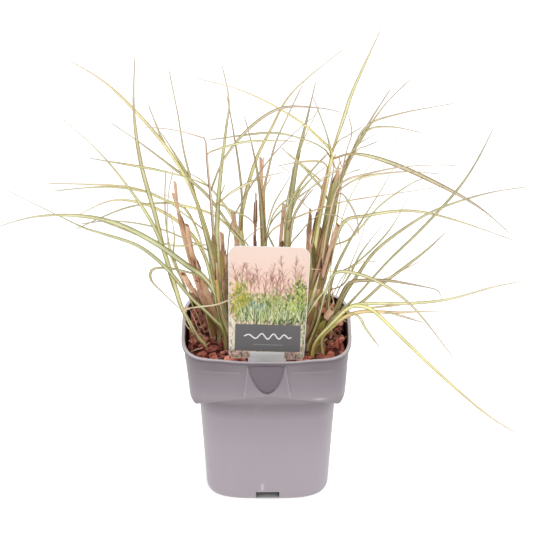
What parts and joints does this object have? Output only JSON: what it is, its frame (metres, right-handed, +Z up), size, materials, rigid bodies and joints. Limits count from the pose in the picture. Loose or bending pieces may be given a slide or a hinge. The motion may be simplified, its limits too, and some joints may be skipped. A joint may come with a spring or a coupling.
{
  "type": "potted miscanthus grass clump",
  "caption": "Square grey nursery pot with a young miscanthus clump: narrow arching green leaves with purple tips, cut tan canes, bark mulch and a picture label.",
  "frame": {"origin": "on the plane that the pot stands on, at the middle of the pot's foot, which is also the middle of the clump's spread", "axes": "+Z up along the pot's upright axis, -Y towards the front with the plant label, +X to the viewer's right, along the widest spread of the leaves"},
  "size_m": [0.5382, 0.3564, 0.4496],
  "materials": {
    "pot_plastic": "satin moulded grey polypropylene",
    "potting_soil": "damp dark peat and fibre",
    "pine_bark": "rough reddish brown bark chips",
    "label_card": "printed plastic sheet, white edge and back",
    "dry_cane": "dry tan straw, fibrous",
    "grass_leaf": "satin green blade with pale midrib and purple tip"
  },
  "bodies": {
    "root": {"pot": "pot_plastic", "soil": "potting_soil", "bark_mulch": "pine_bark", "plant_label": "label_card", "old_cane_01": "dry_cane", "old_cane_02": "dry_cane", "old_cane_03": "dry_cane", "old_cane_04": "dry_cane", "old_cane_05": "dry_cane", "old_cane_06": "dry_cane", "old_cane_07": "dry_cane", "old_cane_08": "dry_cane", "old_cane_09": "dry_cane", "old_cane_10": "dry_cane", "old_cane_11": "dry_cane", "old_cane_12": "dry_cane", "old_cane_13": "dry_cane", "old_cane_14": "dry_cane", "old_cane_15": "dry_cane", "old_cane_16": "dry_cane", "old_cane_17": "dry_cane", "old_cane_18": "dry_cane", "shoot_rim": "grass_leaf", "shoot_left_tall": "grass_leaf", "shoot_left_wide": "grass_leaf", "shoot_left_low": "grass_leaf", "shoot_left_kinked": "grass_leaf", "shoot_left_arching": "grass_leaf", "shoot_left_culm": "grass_leaf", "shoot_left_upright": "grass_leaf", "shoot_left_slender": "grass_leaf", "shoot_left_leaning": "grass_leaf", "shoot_left_front": "grass_leaf", "shoot_mid_arching": "grass_leaf", "shoot_mid_left_sweep": "grass_leaf", "shoot_mid_upright": "grass_leaf", "shoot_mid_back": "grass_leaf", "shoot_mid_right_wide": "grass_leaf", "shoot_mid_right_back": "grass_leaf", "shoot_mid_folded": "grass_leaf", "shoot_mid_bowed": "grass_leaf", "shoot_mid_straw": "grass_leaf", "shoot_mid_far_left": "grass_leaf", "shoot_right_culm": "grass_leaf", "shoot_right_purple": "grass_leaf", "shoot_right_tan": "grass_leaf", "shoot_right_purple_tip": "grass_leaf", "shoot_right_thin": "grass_leaf", "shoot_right_steep": "grass_leaf", "shoot_right_big": "grass_leaf", "shoot_right_far": "grass_leaf", "shoot_right_bowed": "grass_leaf", "shoot_right_hooked": "grass_leaf", "shoot_right_broken": "grass_leaf", "shoot_right_level": "grass_leaf", "shoot_right_short": "grass_leaf", "shoot_right_drooping": "grass_leaf", "shoot_right_stubby": "grass_leaf"}
  },
  "joints": []
}
